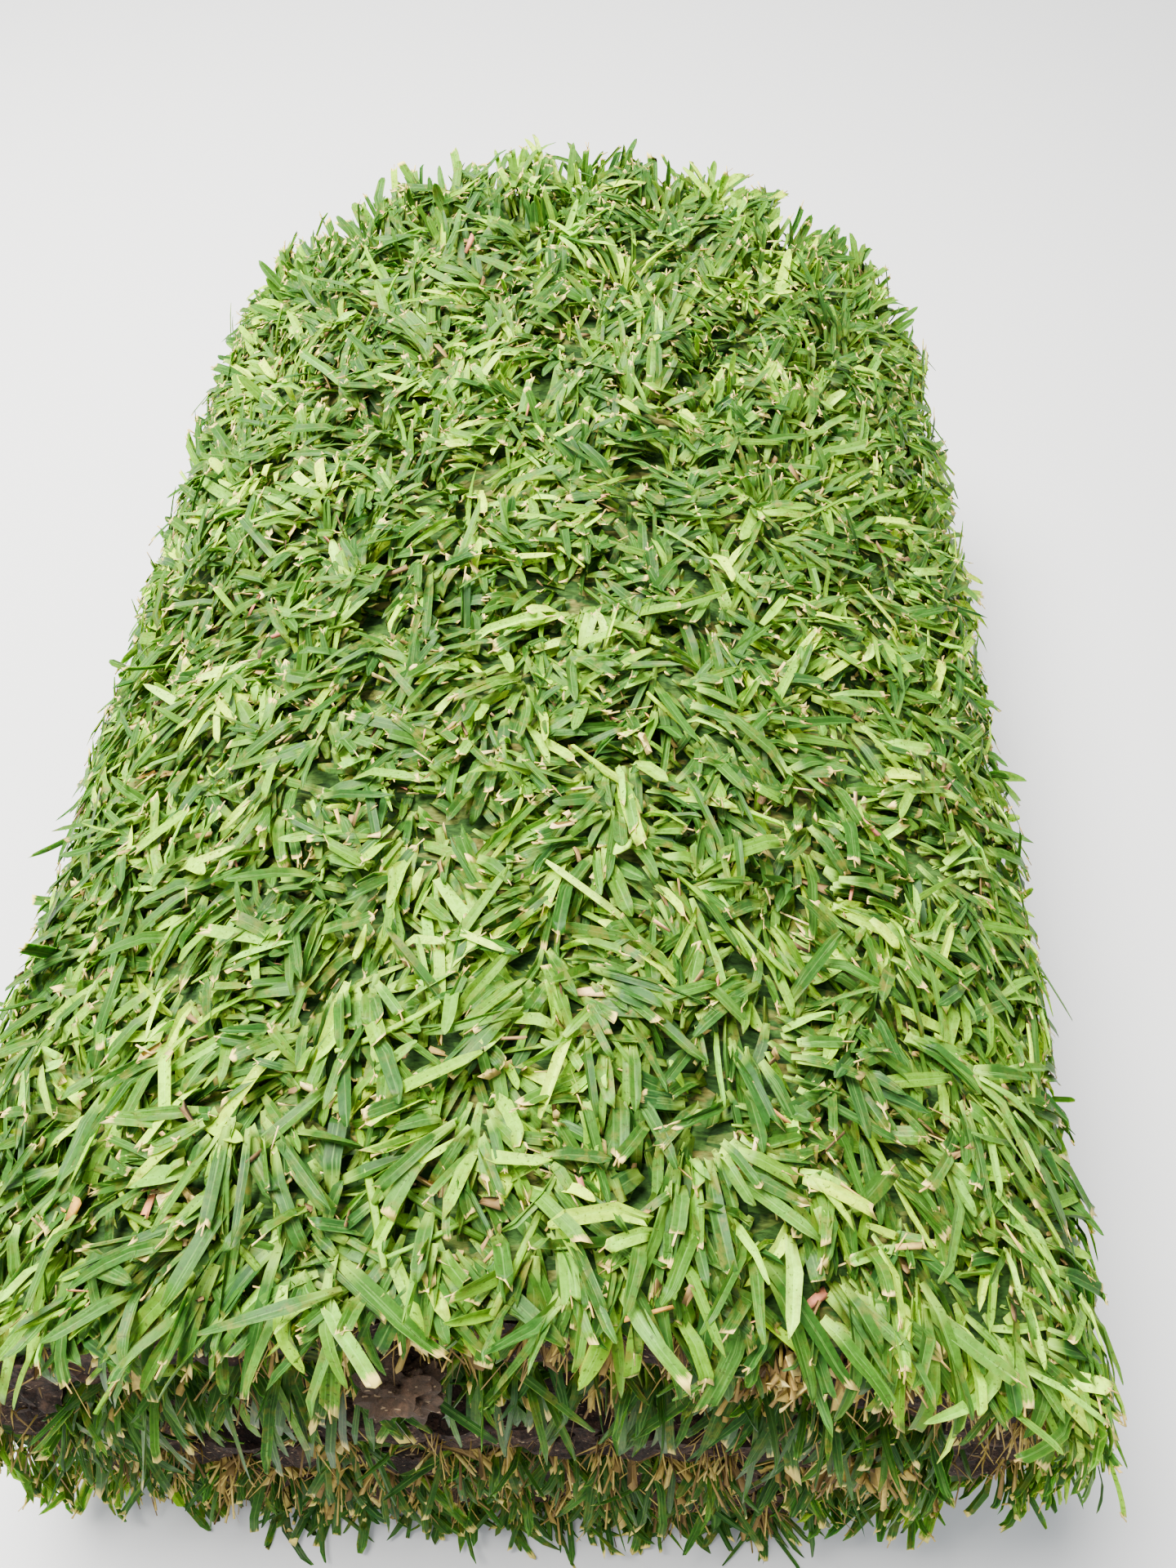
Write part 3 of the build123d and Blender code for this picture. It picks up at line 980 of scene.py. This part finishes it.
bits(
    "stubs_of_sheaths", sliver, along_all_cuts(1100, 160, depth=8.0), low=-4, high=6, tones=(0.15, 0.8),
    width=(2.9, 0.9, 1.2, 5.0), length=(10, 3, 5, 17), lean=(radians(96), radians(14), 0.9, 2.2),
    sag=(3, 3, 0, 10),
)
bits(
    "clump_of_sheaths", sliver, near_clump(60, ridge - 88.0, spread=6.0), low=-8, high=10, tones=(0.05, 0.88),
    width=(3.2, 1.3, 1.0, 5.4), length=(9, 3, 4, 16), lean=(radians(104), radians(32), 0.6, 2.7),
    sag=(3, 3, 0, 12),
)
spots = near_clump(160, start_of["right_0"] + 70.0, spread=7.0)
bits(
    "clump_of_thatch", sliver, spots, low=-26, high=-4, tones=(0.0, 0.8),
    width=(2.8, 1.2, 0.8, 5.4), length=(14, 5, 6, 26), lean=(radians(98), radians(28), 0.7, 2.6),
    sag=(4, 4, 0, 14),
)
bits(
    "strands_of_thatch", sliver, along_all_cuts(2400, 500, depth=7.0), low=-4, high=11, tones=(0.05, 0.7),
    width=(0.8, 0.3, 0.4, 1.6), length=(13, 6, 4, 28), lean=(radians(92), radians(20), 0.7, 2.4),
    sag=(5, 5, 0, 16),
)
bits(
    "hair_roots", hair, along_all_cuts(1250, 250, depth=3.0), low=1 - mat_thickness, high=0,
    tones=(0.05, 0.6), slot="roots", profile=tapering, width=(0.55, 0.15, 0.3, 1.0), length=(10, 5, 4, 28),
    lean=(radians(90), radians(26), 0.5, 2.6), sag=(5, 4, 0, 16), thickness=(1, 0, 1, 1),
)

# %% Clods and crumbs of loam
# One clod as big as a walnut hangs in the thatch of the near end, and it is painted lighter where it catches
# light. Crumbs cling to the cut soil.
def add_lump(soil, where, size, fineness, pale_share=0.0):
    """One lump of loam, at a place of the flat strip, with half its size along, across and over."""
    made = bmesh.ops.create_icosphere(soil, subdivisions=fineness, radius=1.0)["verts"]
    flat = [[where[i] + vertex.co[i] * size[i] for i in range(3)] for vertex in made]
    for vertex, place in zip(made, wind(flat)):
        vertex.co = Vector(place)
    middle = sum((vertex.co for vertex in made), Vector()) / len(made)
    for vertex in made:
        lumps = 0.45 * rough(vertex.co * 1000, 0.6 * min(size), 4)
        vertex.co = middle + (vertex.co - middle) * (1 + lumps)
        vertex.co.z = max(vertex.co.z, 0.0005)
        vertex[painted_light_on_clod] = pale_share

soil = bmesh.new()
painted_light_on_clod = soil.verts.layers.float.new("painted_light_on_clod")
clod_place = (ridge + 34.0, -half_width - 9.0, 1.0 - mat_thickness)
# The clod's pale share of 0.12 is painted light.
add_lump(soil, clod_place, (13.0, 8.0, 9.5), fineness=4, pale_share=0.12)
along, across, _ = at_ends(260, 0, strip_length, depth=2.0)
over, half = rng.uniform(2 - mat_thickness, -2, len(along)), rng.gamma(3.0, 0.55, len(along)) + 0.7
for spot, radius in zip(np.stack([along, across, over], -1), half):
    add_lump(soil, spot, (radius, radius * 0.8, radius * 0.9), fineness=1)
bmesh.ops.recalc_face_normals(soil, faces=soil.faces)
add_piece("clods_and_crumbs", as_mesh("clods_and_crumbs", soil), loam)

# %% Frayed fibres where the mower tore a leaf
def unit(vectors):
    """Vectors made one long."""
    return vectors / np.maximum(np.linalg.norm(vectors, axis=-1, keepdims=True), 1e-9)

rooted = 0.0012  # how deep each fibre starts inside its leaf, in metres like the rest here
stray = 0.00035
ends = np.concatenate(tips_of_torn)
per_end = rng.integers(0, 3, len(ends))
rings = np.repeat(ends, per_end, 0)
count = len(rings)
way = unit(rings[:, 1].mean(1) - rings[:, 0].mean(1) + rng.normal(0, stray, (count, 3)))
corners = rings[:, 1]
left_to_right = corners[np.arange(count), 2] - corners[np.arange(count), 0]
start = corners[:, 0] + left_to_right * rng.uniform(0.1, 0.9, (count, 1)) - way * rooted
side = unit(left_to_right)
above = unit(np.cross(side, way))
x, y, z = (fibre["places"][:, axis][None, :, None] for axis in range(3))
length = rng.uniform(0.0022, 0.0052, (count, 1, 1))
width = rng.uniform(0.0004, 0.0009, (count, 1, 1))
places = start[:, None] + way[:, None] * y * length + (side[:, None] * x + above[:, None] * z) * width
places[..., 2] = np.maximum(places[..., 2], 0.0004)
mesh = join_copies("frayed_ends", fibre, places, {"tone": rng.uniform(0.4, 0.84, count)})
add_piece("frayed_ends", mesh, straw)
